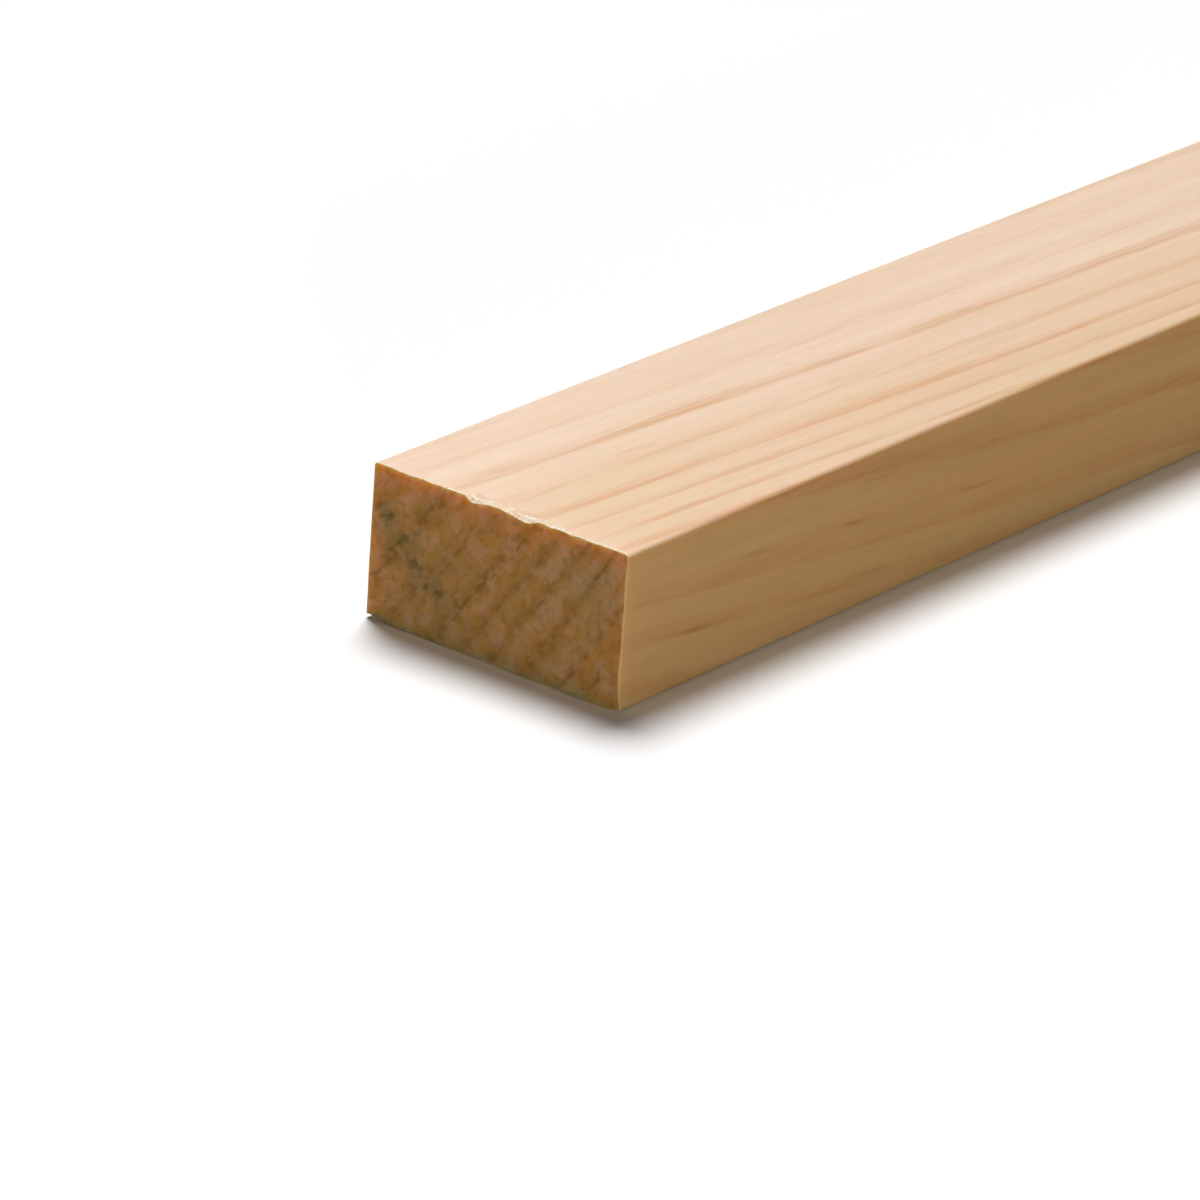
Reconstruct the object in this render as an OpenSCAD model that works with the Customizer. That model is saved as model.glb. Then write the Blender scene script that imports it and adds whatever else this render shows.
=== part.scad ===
// Furring strip: one length of softwood batten, planed on four sides and sawn square at both ends.
// It lies on a broad face along X. The origin is at the middle of that face, with +Z up.

/* [Stock] */
// Width of the two broad faces
strip_width = 38.1; // [25:0.1:90]
// Thickness from one broad face to the other
strip_thickness = 19.8; // [12:0.1:40]
// Length from one sawn end to the other
strip_length = 2438.4; // [600:0.1:4900]

/* [Long arrises] */
// Radius that the planer leaves on the two upper arrises
upper_arris_radius = 0.6; // [0.2:0.1:3]
// Radius that handling leaves on the two lower arrises
lower_arris_radius = 0.5; // [0.2:0.1:3]

/* [Torn end] */
// Depth of the notches that the saw tore out of the near end's upper edge, below the upper face
notch_depth = 0.65; // [0.1:0.05:2]
// Width of each notch's steep side
notch_steep_side = 0.8; // [0.1:0.1:1]
// Length over which each notch fades out along the grain
notch_run = 1.6; // [0.5:0.1:6]
// Width of the notch behind the strip's middle
back_notch_width = 3.8; // [1:0.1:6]
// Distance from the strip's middle to the back notch's steep side
back_notch_offset = 5; // [0:0.1:8]
// Width of the notch in front of the strip's middle
front_notch_width = 5.4; // [1:0.1:6]
// Distance from the strip's middle to the front notch's steep side
front_notch_offset = 5.7; // [0:0.1:8]

/* [Chipped corner] */
// Width of the chip in the near end's lower back corner
chip_width = 2.1; // [0.5:0.1:6]
// Height of the chip above the lower face
chip_height = 0.6; // [0.1:0.05:3]
// Length over which the chip fades out along the grain
chip_run = 3; // [0.5:0.1:10]

/* [Hidden] */
$fn = 64;
near_end = -strip_length / 2;
back_edge = strip_width / 2;
// How far a cutting shape reaches past the surface that it opens
cut_clearance = 1;

// A closed outline with round corners: the straight sides end where the corner arcs begin
module dressed_section() {
    half = strip_width / 2;
    top = strip_thickness;
    up = upper_arris_radius;
    low = lower_arris_radius;
    polygon([
        [-half + low, 0], [half - low, 0],
        [half, low], [half, top - up],
        [half - up, top], [-half + up, top],
        [-half, top - up], [-half, low]
    ]);
    for (side = [-1, 1]) {
        translate([side * (half - up), top - up]) circle(r = up);
        translate([side * (half - low), low]) circle(r = low);
    }
}

// The planed bar with square-sawn ends, its section swept along X
module dressed_bar() {
    translate([near_end, 0, 0])
        rotate([90, 0, 90])
            linear_extrude(height = strip_length) dressed_section();
}

// A wedge under the plane z = 0: depth deep where x = 0, running out to nothing where x = run.
// It spans Y from low_side to high_side, and reaches past the plane that it opens.
module fading_wedge(depth, run, low_side, high_side) {
    fall = depth / run;
    translate([0, high_side, 0])
        rotate([90, 0, 0])
            linear_extrude(height = high_side - low_side)
                polygon([
                    [-cut_clearance, cut_clearance],
                    [-cut_clearance, -depth - fall * cut_clearance],
                    [run + cut_clearance / fall, cut_clearance]
                ]);
}

// A V-shaped channel along X under the plane z = 0: steep on its +Y side, and rising gently to -Y
module ring_channel(width) {
    rotate([90, 0, 90])
        linear_extrude(height = 2 * (notch_run + cut_clearance), center = true)
            polygon([
                [0, cut_clearance], [0, 0],
                [-notch_steep_side, -notch_depth],
                [-width, 0], [-width, cut_clearance]
            ]);
}

// Soft earlywood torn out along a growth ring, deepest at the sawn end
module torn_notch(width) {
    intersection() {
        fading_wedge(notch_depth, notch_run, -width - cut_clearance, cut_clearance);
        ring_channel(width);
    }
}

// The two notches in the near end's upper edge, which rise gently towards each other
module torn_edge() {
    translate([near_end, back_notch_offset, strip_thickness])
        torn_notch(back_notch_width);
    translate([near_end, -front_notch_offset, strip_thickness])
        mirror([0, 1, 0]) torn_notch(front_notch_width);
}

// The lower back corner, split off along the grain
module corner_chip() {
    translate([near_end, back_edge, 0])
        mirror([0, 0, 1])
            fading_wedge(chip_height, chip_run, -chip_width, cut_clearance);
}

// The whole strip, one piece of wood
module furring_strip() {
    color("burlywood")
        difference() {
            dressed_bar();
            torn_edge();
            corner_chip();
        }
}

furring_strip();
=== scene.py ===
"""A furring strip: one length of planed softwood with sawn ends, lying on a pale floor.

Lengths are in millimetres. A place on the strip is given along it from the near end, across it from
its middle, and up from its lower face. They become metres where Blender takes them.

Among the values, UNEVEN is the least and the most of a random factor, CONTRAST is where a mark starts and
ends, FACING is how much a face looks up or down, from 0 to 1, and CELL is the size of a patch of noise.
"""

import math

import bpy
import numpy as np
from mathutils import Matrix, Vector


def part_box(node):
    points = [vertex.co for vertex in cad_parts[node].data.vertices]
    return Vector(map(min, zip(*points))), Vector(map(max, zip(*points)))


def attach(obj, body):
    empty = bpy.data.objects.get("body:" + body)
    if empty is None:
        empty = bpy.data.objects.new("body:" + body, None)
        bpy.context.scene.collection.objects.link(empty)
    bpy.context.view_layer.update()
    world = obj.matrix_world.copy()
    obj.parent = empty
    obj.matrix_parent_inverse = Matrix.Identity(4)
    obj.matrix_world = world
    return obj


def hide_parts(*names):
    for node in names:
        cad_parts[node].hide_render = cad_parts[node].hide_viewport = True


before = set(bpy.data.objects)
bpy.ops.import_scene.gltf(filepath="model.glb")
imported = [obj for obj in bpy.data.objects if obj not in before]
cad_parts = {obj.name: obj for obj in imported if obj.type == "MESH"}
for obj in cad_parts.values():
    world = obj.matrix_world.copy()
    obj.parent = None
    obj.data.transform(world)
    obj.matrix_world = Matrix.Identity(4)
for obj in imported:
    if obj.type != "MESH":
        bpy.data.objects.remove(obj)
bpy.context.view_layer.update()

MM = 0.001
low_corner, high_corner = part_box("furring_strip")
LENGTH = (high_corner.x - low_corner.x) / MM
WIDTH = (high_corner.y - low_corner.y) / MM
THICKNESS = (high_corner.z - low_corner.z) / MM
NEAR_END = low_corner.x / MM
HALF_WIDTH = WIDTH / 2

# Camera: where it looks on the near end, and how it stands to the strip
CAMERA_AIM = (0.0, -15.4, 13.1)
CAMERA_DISTANCE = 805.0
CAMERA_HEADING = 37.04
CAMERA_DIP = 22.96
CAMERA_ROLL = 4.17
CAMERA_LENS = 210.8
SENSOR_WIDTH = 36.0
CAMERA_NEAREST = 10.0

# Planed section, and the edges of the sawn ends, softened unevenly on the way round the section
UPPER_ARRIS = 0.6
LOWER_ARRIS = 0.5
END_ARRIS_TOP = 0.03
END_ARRIS_SIDE = 0.22
END_ARRIS_BOTTOM = 0.16
LEAST_END_WEAR = 0.5
END_WEAR_SPACING = 2.6
ROUND_SECTION = 3 * WIDTH
FACING_UP = 0.7
WORN_CORNER_DEPTH = 0.6
WORN_CORNER_REACH = 1.6
WORN_CORNER_RUN = 4.0

# Slices along the strip, columns round its section, and how far its edges count as near an arris
END_GAP = 0.14
GAP_GROWTH = 0.08
TORN_REACH = 2.6
SHOWN_LENGTH = 190.0
SHOWN_GAP = 2.4
WIDE_GAP = 18.0
ARC_STEPS = 3
BROAD_COLUMNS = 76
NARROW_COLUMNS = 38
TORN_ZONE = (-10.0, 7.0)
TORN_COLUMN_DENSITY = 2.2
BROAD_SAMPLES = 600
ARRIS_REACH = 2.0
END_ARRIS_REACH = 1.5
SHARP_ANGLE = 38.0

# Growth rings: the pith lies outside the section, beyond the upper back corner
PITH_DISTANCE = 150.0
PITH_ANGLE = math.radians(33)
PITH = (PITH_DISTANCE * math.cos(PITH_ANGLE), THICKNESS + PITH_DISTANCE * math.sin(PITH_ANGLE))
FIRST_RING = -38.0
RING_WIDTHS = (5.3, 5.7, 5.5, 5.0, 5.4, 5.1, 5.6, 4.9, 3.5, 3.5, 3.4, 4.6, 2.8, 3.6, 3.3, 3.8)
RING_DEPTHS = (0.4, 0.5, 0.3, 0.1, 0.3, 0.85, 0.55, 0.95, 0.7, 0.75, 0.85, 0.65, 0.6, 0.75, 0.7, 0.6)
RING_EDGES = FIRST_RING + np.concatenate([[0.0], np.cumsum(RING_WIDTHS)])
RING_SPAN = float(RING_EDGES[-1] - RING_EDGES[0])
RUN_OUT = 18.0
RUN_OUT_LENGTH = 280.0
WANDER = ((0.9, 1500.0), (0.35, 610.0))
LATEWOOD_START = 0.68
LATEWOOD_END = 1.12
RAISED_GRAIN = 0.012
MEAN_LATEWOOD = 0.4
HEARTWOOD_INNER = -9.0
HEARTWOOD_OUTER = 6.0

# Torn upper edge of the near end, as (across, depth) along its lip, and small chips along the whole edge
TORN_LIP = (
    (-9.2, 0.0), (-8.3, 0.05), (-7.7, 0.22), (-7.0, 0.05), (-5.8, 0.03), (-5.3, 0.2), (-4.3, 0.64),
    (-3.3, 0.54), (-2.1, 0.43), (-0.2, 0.14), (1.6, 0.14), (3.2, 0.42), (4.2, 0.68), (4.8, 0.3), (5.3, 0.0),
)
LIP_UNEVEN = (0.86, 1.14)
TORN_RUN = 1.6
TORN_RUN_UNEVEN = (0.85, 1.25)
TORN_TERRACES = 2
TORN_TERRACE_DEPTH = 0.085
TORN_FIBRE_SPACING = 0.55
TORN_STRAND_SPACING = 0.42
TORN_FACING = (0.5, 0.9)
TORN_SLOPE_CONTRAST = (0.03, 0.3)
TORN_SLOPE_FADE = (0.3, 1.0)
# How far the painted highlight along the lip reaches, how uneven it is, and how much wider it is on the
# burr
TORN_RIM = 0.34
TORN_RIM_UNEVEN = (0.6, 1.4)
TORN_RIM_ON_BURR = 0.9
# Stretches along the edge where the painted highlight is strong, and its least strength
FRESH_SPACING = 1.3
FRESH_CONTRAST = (0.2, 0.8)
FRESH_FADE = (16.0, 2.0)
LEAST_FRESH = 0.42
# Where the painted highlight on the tear's middle ledge lies and how wide it is
LEDGE_SHARE = 0.5
LEDGE_HALF_WIDTH = 0.12
LEDGE_CONTRAST = (0.2, 0.6)
LEAST_BARE = 0.4
EDGE_CHIP_DEPTH = 0.11
EDGE_CHIP_RUNS = (0.4, 1.0)
EDGE_CHIP_SPACING = 1.1
EDGE_CHIPS_FROM = -100.0
EDGE_CHIP_CONTRAST = (0.45, 1.0)
BURR_MIDDLE = -8.8
BURR_HALF_WIDTH = 1.8
BURR_HEIGHT = 0.08
BURR_UNEVEN = (0.6, 1.0)
BURR_RUN = 0.45

# Lower back corner of the near end, split off along the grain
CHIP_WIDTH = 2.1
CHIP_HEIGHT = 0.6
CHIP_RUN = 3.0
CHIP_FACING = 0.2

# Sawn ends: scratches in arcs about the blade's axle, which fade out close to the edges
SAW_AXLE = (-70.0, 120.0)
SAW_PITCH = 1.3
SAW_DEPTH = 0.05
SCRATCH_SHARE = 0.6
SAW_WOBBLE = 3.0
SAW_WOBBLE_SPACING = 4.0
SAW_MARGIN = 0.8

# Resin streaks on the two faces that show and the end, as (along, across, up, length, depth of tone)
RESIN_STREAKS = (
    (15.5, -14.4, THICKNESS, 11.0, 0.25),
    (25.5, 1.0, THICKNESS, 5.5, 0.25),
    (94.0, 2.0, THICKNESS, 3.0, 0.4),
    (25.0, -HALF_WIDTH, 13.0, 6.0, 0.4),
    (44.0, -HALF_WIDTH, 11.5, 6.0, 0.65),
    (69.0, -HALF_WIDTH, 9.3, 9.0, 0.55),
    (14.0, -HALF_WIDTH, 6.5, 9.0, 0.75),
    (48.0, -HALF_WIDTH, 4.0, 9.0, 0.35),
    (48.0, -HALF_WIDTH, 16.0, 7.0, 0.3),
    (1.0, -16.2, 16.5, 6.0, 0.7),
)
RESIN_HALF_WIDTH = 0.36
RESIN_EDGE = (-0.1, 1.5)
RESIN_TRAIL = (4.0, 5 / 3, 5 / 3)
TRAIL_EDGE = (0.0, 1.4)
RESIN_SLOPE_TOP = -0.062
RESIN_SLOPE_SIDE = -0.09
RESIN_RAGGED_CELL = (4.0, 0.6, 0.6)
RESIN_RAGGED_SIZE = 1.2
DUCT_CELL = (17.0, 2.2, 2.2)
DUCT_EDGE = (0.03, 0.17)
DUCTS_LEFT_OUT = 0.6

# Sap stain: a band across the end grain, from the back face towards the middle, with ragged sides
STAIN_INNER = (5.0, 3.0)
STAIN_OUTER = (19.0, 14.8)
STAIN_HALF_WIDTH = 2.0
STAIN_LENGTH = 160.0
STAIN_SIDES = (-0.2, 1.7)
STAIN_FADE = (-0.22, 0.38)
STAIN_RAGGED_CELL = (40.0, 2.2, 2.2)
STAIN_RAGGED_SIZE = 5.0
STAIN_BLOTCH_CELL = (50.0, 3.2, 1.5)

# Near end: a greyed patch on the end grain, how far the crushed edge reaches, and the length over which a
# painted shade darkens the wood away from the near end
GREYED_MIDDLE = (-14.0, 15.0)
GREYED_REACH = 8.0
PAINTED_FALLOFF_LENGTH = 70.0
CRUSHED_LENGTH = 1.6

# Finer grain: how the rings sway, how sharp the fibre is and how broad the rubbed patches are
SWAY_CELL = (70.0, 7.0, 11.0)
SWAY_SIZE = 4.0
FIBRE_CONTRAST = (0.28, 0.72)
RUB_PATCH_WIDTH = 3.0
RUB_CONTRAST = (0.4, 0.66)

# Light: headings are from the strip's length towards its back, heights are above the floor
KEY_HEADING = 45.0
KEY_HEIGHT = 66.0
KEY_SPREAD = 25.0
KEY_STRENGTH = 3.2
KEY_COLOUR = (1.0, 1.0, 1.0)
FILL_HEADING = 227.0
FILL_HEIGHT = 5.0
FILL_SPREAD = 10.0
FILL_STRENGTH = 1.05
FILL_COLOUR = (1.0, 0.8, 0.44)
SKY_LEVEL = 0.035
FLOOR_REACH = 60000.0
FLOOR_DROP = 0.05

WEAR_SEED = 20
rng = np.random.default_rng(WEAR_SEED)


def to_metres(along, across, up):
    """A place on the strip as a point in the frame."""
    return Vector(((NEAR_END + along) * MM, across * MM, up * MM))


def smooth_step(start, end, value):
    """0 before start and 1 after end, with a smooth rise between them."""
    share = np.clip((value - start) / (end - start), 0, 1)
    return share * share * (3 - 2 * share)


def part_way(share, low, high):
    """A value from low to high, at a share from 0 to 1 of the way."""
    return low + (high - low) * share


def scatter(places, spacing):
    """Smooth random heights from 0 to 1 along a line, a new one each spacing."""
    knots = np.floor(places / spacing).astype(int)
    share = places / spacing - knots
    share = share * share * (3 - 2 * share)
    first = knots.min()
    heights = rng.uniform(0, 1, knots.max() - first + 2)
    return heights[knots - first] * (1 - share) + heights[knots - first + 1] * share


# Wood: how the growth rings run through the strip

def ring_place(along, across, up):
    """How far out a point lies across the growth rings, following the grain along the strip."""
    outward = np.hypot(across - PITH[0], up - PITH[1]) - PITH_DISTANCE
    drift = RUN_OUT * (1 - np.exp(-along / RUN_OUT_LENGTH))
    wander = sum(size * (1 - np.cos(2 * np.pi * along / length)) for size, length in WANDER)
    return outward - drift + wander


def latewood_at(along, across, up):
    """0 in the pale earlywood and 1 in the dark latewood, which is densest at each ring's outer edge."""
    rings = np.interp(ring_place(along, across, up), RING_EDGES, np.arange(len(RING_EDGES)))
    share = (rings + 0.5) % 1.0 + 0.5
    return smooth_step(LATEWOOD_START, 1.0, share) * (1 - smooth_step(1.0, LATEWOOD_END, share))


# Mesh: slices along the strip, a ring of columns round the section, and a grid over each end

def slice_places():
    """Distances from the near end at which the strip is sliced, closest together at the two ends."""
    places = [0.0]
    while places[-1] < LENGTH:
        here = places[-1]
        gap = END_GAP + GAP_GROWTH * max(0.0, here - TORN_REACH)
        gap = min(gap, SHOWN_GAP + GAP_GROWTH * max(0.0, here - SHOWN_LENGTH))
        far_gap = END_GAP + GAP_GROWTH * max(0.0, LENGTH - here - TORN_REACH)
        places.append(here + min(gap, far_gap, WIDE_GAP))
    places[-1] = LENGTH
    return np.array(places)


def broad_shares():
    """Shares of the way over a broad face, from front to back, closer together in the torn zone."""
    share = np.linspace(0, 1, BROAD_SAMPLES)
    across = -HALF_WIDTH + share * WIDTH
    torn = (across > TORN_ZONE[0]) & (across < TORN_ZONE[1])
    weight = np.cumsum(np.where(torn, TORN_COLUMN_DENSITY, 1.0))
    weight = (weight - weight[0]) / (weight[-1] - weight[0])
    return np.interp(np.linspace(0, 1, BROAD_COLUMNS + 1), weight, share)


def section_ring():
    """Places (across, up) round the section and their outward directions, from the lower front corner.

    Each of the four sides runs from the middle of one rounded corner to the middle of the next.
    """
    inset = (LOWER_ARRIS, LOWER_ARRIS, UPPER_ARRIS, UPPER_ARRIS)
    signs = ((-1, 0), (1, 0), (1, 1), (-1, 1))
    broad = broad_shares()
    narrow = np.linspace(0, 1, NARROW_COLUMNS + 1)
    shares = (broad, narrow, 1 - broad[::-1], narrow)
    centres = []
    for radius, (side, top) in zip(inset, signs):
        centres.append((side * (HALF_WIDTH - radius), THICKNESS - radius if top else radius))
    places, normals, from_arris = [], [], []

    def add_place(place, direction, distance):
        places.append(place)
        normals.append(direction)
        from_arris.append(distance)

    def add_half_arc(corner, start_angle, steps):
        for step in steps:
            turn = start_angle + math.radians(45) * step / ARC_STEPS
            direction = np.array([math.cos(turn), math.sin(turn)])
            add_place(np.array(centres[corner]) + inset[corner] * direction, direction, 0.0)

    for side in range(4):
        after = (side + 1) % 4
        middle = math.radians(225 + 90 * side)
        facing = middle + math.radians(45)
        out = np.array([math.cos(facing), math.sin(facing)])
        start = np.array(centres[side]) + inset[side] * out
        end = np.array(centres[after]) + inset[after] * out
        way = end - start
        add_half_arc(side, middle, range(ARC_STEPS))
        for share in shares[side]:
            add_place(start + share * way, out, min(share, 1 - share) * np.linalg.norm(way))
        add_half_arc(after, facing, range(1, ARC_STEPS))
    return np.array(places), np.array(normals), np.array(from_arris)


BROAD_STEPS = BROAD_COLUMNS + 2 * ARC_STEPS
NARROW_STEPS = NARROW_COLUMNS + 2 * ARC_STEPS
SIDE_STEPS = (BROAD_STEPS, NARROW_STEPS, BROAD_STEPS, NARROW_STEPS)
RING_STEPS = sum(SIDE_STEPS)


def torn_edge(along, across):
    """How deep the near end's upper edge is torn, and how bare its fibre is, with a painted highlight in
    it.

    The tear goes down in two terraces. Beside it a low burr lifts the edge, though not above the planed
    face. Pale fresh fibre shows along the whole edge. A painted highlight lies along its lip and on the
    tear's middle ledge.
    """
    fibre = scatter(across, TORN_FIBRE_SPACING)
    strand = scatter(across, TORN_STRAND_SPACING)
    lip = np.interp(across, *np.transpose(TORN_LIP)) * part_way(strand, *LIP_UNEVEN)
    share = np.clip(along / (TORN_RUN * part_way(fibre, *TORN_RUN_UNEVEN)), 0, 1)
    torn = lip * (1 - share + TORN_TERRACE_DEPTH * np.sin(2 * np.pi * TORN_TERRACES * share))
    chips = smooth_step(*EDGE_CHIP_CONTRAST, scatter(across - EDGE_CHIPS_FROM, EDGE_CHIP_SPACING))
    chips = EDGE_CHIP_DEPTH * chips * np.clip(1 - along / part_way(fibre, *EDGE_CHIP_RUNS), 0, 1)
    aside = np.clip(1 - ((across - BURR_MIDDLE) / BURR_HALF_WIDTH) ** 2, 0, 1)
    burr = aside * part_way(strand, *BURR_UNEVEN) * np.clip(1 - along / BURR_RUN, 0, 1)
    fresh = smooth_step(*FRESH_CONTRAST, scatter(across, FRESH_SPACING)) * smooth_step(*FRESH_FADE, across)
    fresh = part_way(np.maximum(fresh, np.sqrt(aside)), LEAST_FRESH, 1.0)
    # Painted highlight: a bright line along the lip, wider on the burr, and a bright stripe on the tear's
    # middle ledge
    rim_run = TORN_RIM * (part_way(fibre, *TORN_RIM_UNEVEN) + TORN_RIM_ON_BURR * aside)
    rim = fresh * np.exp(-((along / rim_run) ** 2))
    on_ledge = np.exp(-(((share - LEDGE_SHARE) / LEDGE_HALF_WIDTH) ** 2))
    ledge = smooth_step(*LEDGE_CONTRAST, fibre) * on_ledge
    slope = smooth_step(*TORN_SLOPE_CONTRAST, lip) * (1 - smooth_step(*TORN_SLOPE_FADE, share))
    bare = np.maximum(rim, slope * part_way(ledge, LEAST_BARE, 1.0))
    return np.maximum(torn, chips) - BURR_HEIGHT * burr, bare


def end_inset(from_end, normal_up, wear):
    """How far the section draws in where a sawn end's edge is softened."""
    radius = np.where(normal_up < -FACING_UP, END_ARRIS_BOTTOM, END_ARRIS_SIDE)
    radius = np.where(normal_up > FACING_UP, END_ARRIS_TOP, radius) * wear
    reach = np.clip(1 - from_end / radius, 0, 1)
    return radius * (1 - np.sqrt(1 - reach * reach))


def worn_corner(across, up):
    """How far the near end is worn back round its lower front corner."""
    from_corner = np.hypot(across + HALF_WIDTH, up)
    return WORN_CORNER_DEPTH * np.exp(-((from_corner / WORN_CORNER_REACH) ** 2))


def planed_sides(slices):
    """The long faces as places (slices, ring, 3), with how torn and how near an arris each one is.

    The torn mark also sets where the torn edge gets its painted highlight and painted shade.
    """
    ring, normals, from_arris = section_ring()
    along = slices[:, None]
    across, up = ring[None, :, 0], ring[None, :, 1]
    outward_across, outward_up = normals[None, :, 0], normals[None, :, 1]
    relief = RAISED_GRAIN * (latewood_at(along, across, up) - MEAN_LATEWOOD)
    around = np.linspace(0, ROUND_SECTION, len(ring))[None, :]
    for from_end in (along, LENGTH - along):
        wear = LEAST_END_WEAR + scatter(around, END_WEAR_SPACING)
        relief = relief - end_inset(from_end, outward_up, wear)
    across_now = across + relief * outward_across
    up_now = up + relief * outward_up
    tear, bare = torn_edge(along, across)
    on_top = smooth_step(*TORN_FACING, np.clip(outward_up, 0, 1))
    up_now = up_now - tear * on_top
    # The torn mark: pale fresh fibre, with the painted highlight of the lip and ledge in it
    torn = bare * on_top
    under_corner = (across > HALF_WIDTH - CHIP_WIDTH) & (outward_up < -CHIP_FACING)
    split = np.clip(1 - along / CHIP_RUN, 0, 1) * under_corner
    up_now = np.maximum(up_now, np.where(split > 0, CHIP_HEIGHT * split, up_now))
    along_now = along + worn_corner(across_now, up_now) * np.clip(1 - along / WORN_CORNER_RUN, 0, 1)
    places = np.stack(np.broadcast_arrays(along_now, across_now, up_now), axis=-1)
    near_arris = np.broadcast_to(1 - smooth_step(0.0, ARRIS_REACH, from_arris)[None, :], torn.shape)
    return places, torn, near_arris


def end_boundary(column, row):
    """Which step of the section's ring a point on the rim of an end's grid is."""
    if row == 0:
        return column
    if column == BROAD_STEPS:
        return BROAD_STEPS + row
    if row == NARROW_STEPS:
        return BROAD_STEPS + NARROW_STEPS + (BROAD_STEPS - column)
    return (2 * BROAD_STEPS + NARROW_STEPS + (NARROW_STEPS - row)) % RING_STEPS


def end_grid(rim):
    """Places (across, up) over a sawn end, spread evenly between the rim's four sides."""
    corner = [0, BROAD_STEPS, BROAD_STEPS + NARROW_STEPS, 2 * BROAD_STEPS + NARROW_STEPS]
    closed = np.concatenate([rim, rim[:1]])
    bottom = closed[corner[0]:corner[1] + 1]
    back = closed[corner[1]:corner[2] + 1]
    top = closed[corner[2]:corner[3] + 1][::-1]
    front = closed[corner[3]:][::-1]
    u = np.linspace(0, 1, BROAD_STEPS + 1)[:, None, None]
    v = np.linspace(0, 1, NARROW_STEPS + 1)[None, :, None]
    sheet = (1 - v) * bottom[:, None] + v * top[:, None] + (1 - u) * front[None] + u * back[None]
    low_corners = (1 - u) * bottom[0] + u * bottom[-1]
    high_corners = (1 - u) * top[0] + u * top[-1]
    return sheet - (1 - v) * low_corners - v * high_corners


def saw_recess(along, across, up):
    """How far the saw and the soft earlywood recess a sawn end behind its plane."""
    from_axle = np.hypot(across - SAW_AXLE[0], up - SAW_AXLE[1])
    wobble = SAW_WOBBLE * scatter(from_axle, SAW_WOBBLE_SPACING)
    scratch = 0.5 + 0.5 * np.sin(2 * np.pi * from_axle / SAW_PITCH + wobble)
    return SAW_DEPTH * (SCRATCH_SHARE * scratch + 1 - latewood_at(along, across, up))


class StripMesh:
    """Gathers the strip's points and faces, with each point's marks and each corner's place on the map."""

    def __init__(self):
        self.points = []
        self.torn = []
        self.arris = []
        self.faces = []
        self.materials = []
        self.corner_map = []

    def add_points(self, points, torn, arris):
        """Adds points with their marks, and gives the first one's number."""
        first = len(self.points)
        self.points.extend(points)
        self.torn.extend(torn)
        self.arris.extend(arris)
        return first

    def add_face(self, corners, material, places_on_map):
        """Adds a face with its finish and its corners' places on the map."""
        self.faces.append(corners)
        self.materials.append(material)
        self.corner_map.extend(places_on_map)


# The two finishes' numbers on the mesh, and its map: the room left round each patch and the ends' height
PLANED, SAWN = 0, 1
MAP_EDGE = 0.006
MAP_ENDS_HEIGHT = 0.22


def add_planed_sides(strip, places, torn, arris):
    """The long faces. Their four bands lie one above another on the map, above the two ends."""
    rows = len(places)
    strip.add_points(places.reshape(-1, 3), torn.ravel(), arris.ravel())
    band_room = 1 - MAP_ENDS_HEIGHT - 5 * MAP_EDGE
    widths = (WIDTH, THICKNESS, WIDTH, THICKNESS)
    scale = band_room / sum(widths)
    level = MAP_ENDS_HEIGHT
    first = 0
    for side, steps in enumerate(SIDE_STEPS):
        level += MAP_EDGE
        span = places[rows // 2]
        marks = [span[(first + step) % RING_STEPS, 1:] for step in range(steps + 1)]
        lengths = np.concatenate([[0.0], np.cumsum(np.linalg.norm(np.diff(marks, axis=0), axis=1))])
        heights = level + lengths / lengths[-1] * widths[side] * scale
        for row in range(rows - 1):
            left = MAP_EDGE + (1 - 2 * MAP_EDGE) * row / (rows - 1)
            right = MAP_EDGE + (1 - 2 * MAP_EDGE) * (row + 1) / (rows - 1)
            for step in range(steps):
                here = row * RING_STEPS + first + step
                beside = row * RING_STEPS + (first + step + 1) % RING_STEPS
                corners = (here, beside, beside + RING_STEPS, here + RING_STEPS)
                low, high = heights[step], heights[step + 1]
                strip.add_face(corners, PLANED, ((left, low), (left, high), (right, high), (right, low)))
        level += widths[side] * scale
        first += steps


def add_sawn_end(strip, places, at_far_end):
    """One sawn end: a grid that shares its rim with the long faces' first or last slice."""
    rows = len(places)
    row = rows - 1 if at_far_end else 0
    grid = end_grid(places[row, :, 1:])
    across, up = grid[..., 0], grid[..., 1]
    end = LENGTH if at_far_end else 0.0
    inward = -1.0 if at_far_end else 1.0
    recess = saw_recess(end, across, up)
    edge = np.minimum(HALF_WIDTH - np.abs(across), np.minimum(up, THICKNESS - up))
    along = end + inward * recess * smooth_step(0.0, SAW_MARGIN, edge)
    if not at_far_end:
        along = along + worn_corner(across, up)
    number = np.zeros(across.shape, int)
    for column in range(BROAD_STEPS + 1):
        for level in range(NARROW_STEPS + 1):
            on_rim = column in (0, BROAD_STEPS) or level in (0, NARROW_STEPS)
            if on_rim:
                number[column, level] = row * RING_STEPS + end_boundary(column, level)
            else:
                point = (along[column, level], across[column, level], up[column, level])
                arris = 1 - smooth_step(0.0, END_ARRIS_REACH, edge[column, level])
                number[column, level] = strip.add_points([point], [0.0], [arris])
    scale = (MAP_ENDS_HEIGHT - 2 * MAP_EDGE) / THICKNESS
    left = MAP_EDGE + (WIDTH * scale + MAP_EDGE) * at_far_end
    on_map = np.stack([left + (across + HALF_WIDTH) * scale, MAP_EDGE + up * scale], axis=-1)
    for column in range(BROAD_STEPS):
        for level in range(NARROW_STEPS):
            loop = [(column, level), (column, level + 1), (column + 1, level + 1), (column + 1, level)]
            if at_far_end:
                loop.reverse()
            strip.add_face([number[at] for at in loop], SAWN, [tuple(on_map[at]) for at in loop])


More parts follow.
